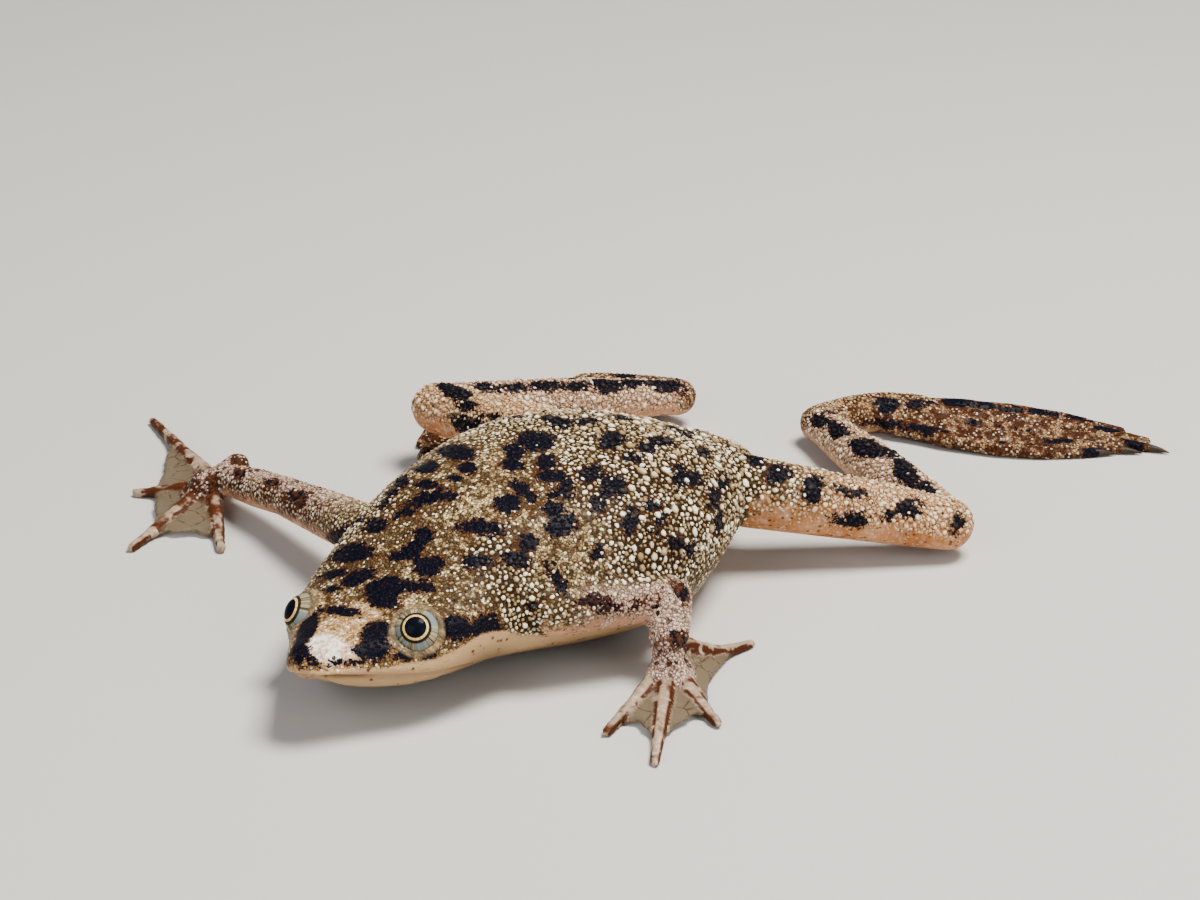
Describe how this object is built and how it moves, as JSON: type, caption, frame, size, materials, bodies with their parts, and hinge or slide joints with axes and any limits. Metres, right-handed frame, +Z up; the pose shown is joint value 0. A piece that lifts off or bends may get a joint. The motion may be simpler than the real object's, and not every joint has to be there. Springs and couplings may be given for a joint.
{
  "type": "african dwarf frog",
  "caption": "Small aquatic frog lying on its belly, flat speckled body, arms spread, webbed hands, one hind foot trailing behind and one folded at its side",
  "frame": {"origin": "under the middle of the flat on which the belly rests, on the floor", "axes": "+Z up from the floor; the snout points towards -Y and the animal's left side is +X; the trailing foot reaches towards +Y"},
  "size_m": [0.0552, 0.0649, 0.0108],
  "materials": {
    "speckled_skin": "moist, satin",
    "pale_skin": "moist, satin",
    "limb_skin": "moist, satin",
    "eye": "wet, glossy",
    "claw": "satin"
  },
  "bodies": {
    "root": {"torso": "speckled_skin", "head": "speckled_skin", "upper_arm_left": "speckled_skin", "upper_arm_right": "speckled_skin", "forearm_left": "speckled_skin", "forearm_right": "speckled_skin", "thigh_left": "speckled_skin", "thigh_right": "speckled_skin", "shin_left": "speckled_skin", "shin_right": "speckled_skin", "tarsus_left": "speckled_skin", "tarsus_right": "speckled_skin", "lower_jaw": "pale_skin", "hand_left": "limb_skin", "hand_right": "limb_skin", "foot_left": "limb_skin", "foot_right": "limb_skin", "eye_left": "eye", "eye_right": "eye", "claw_left_1": "claw", "claw_left_2": "claw", "claw_left_3": "claw", "claw_right_1": "claw", "claw_right_2": "claw", "claw_right_3": "claw"}
  },
  "joints": []
}
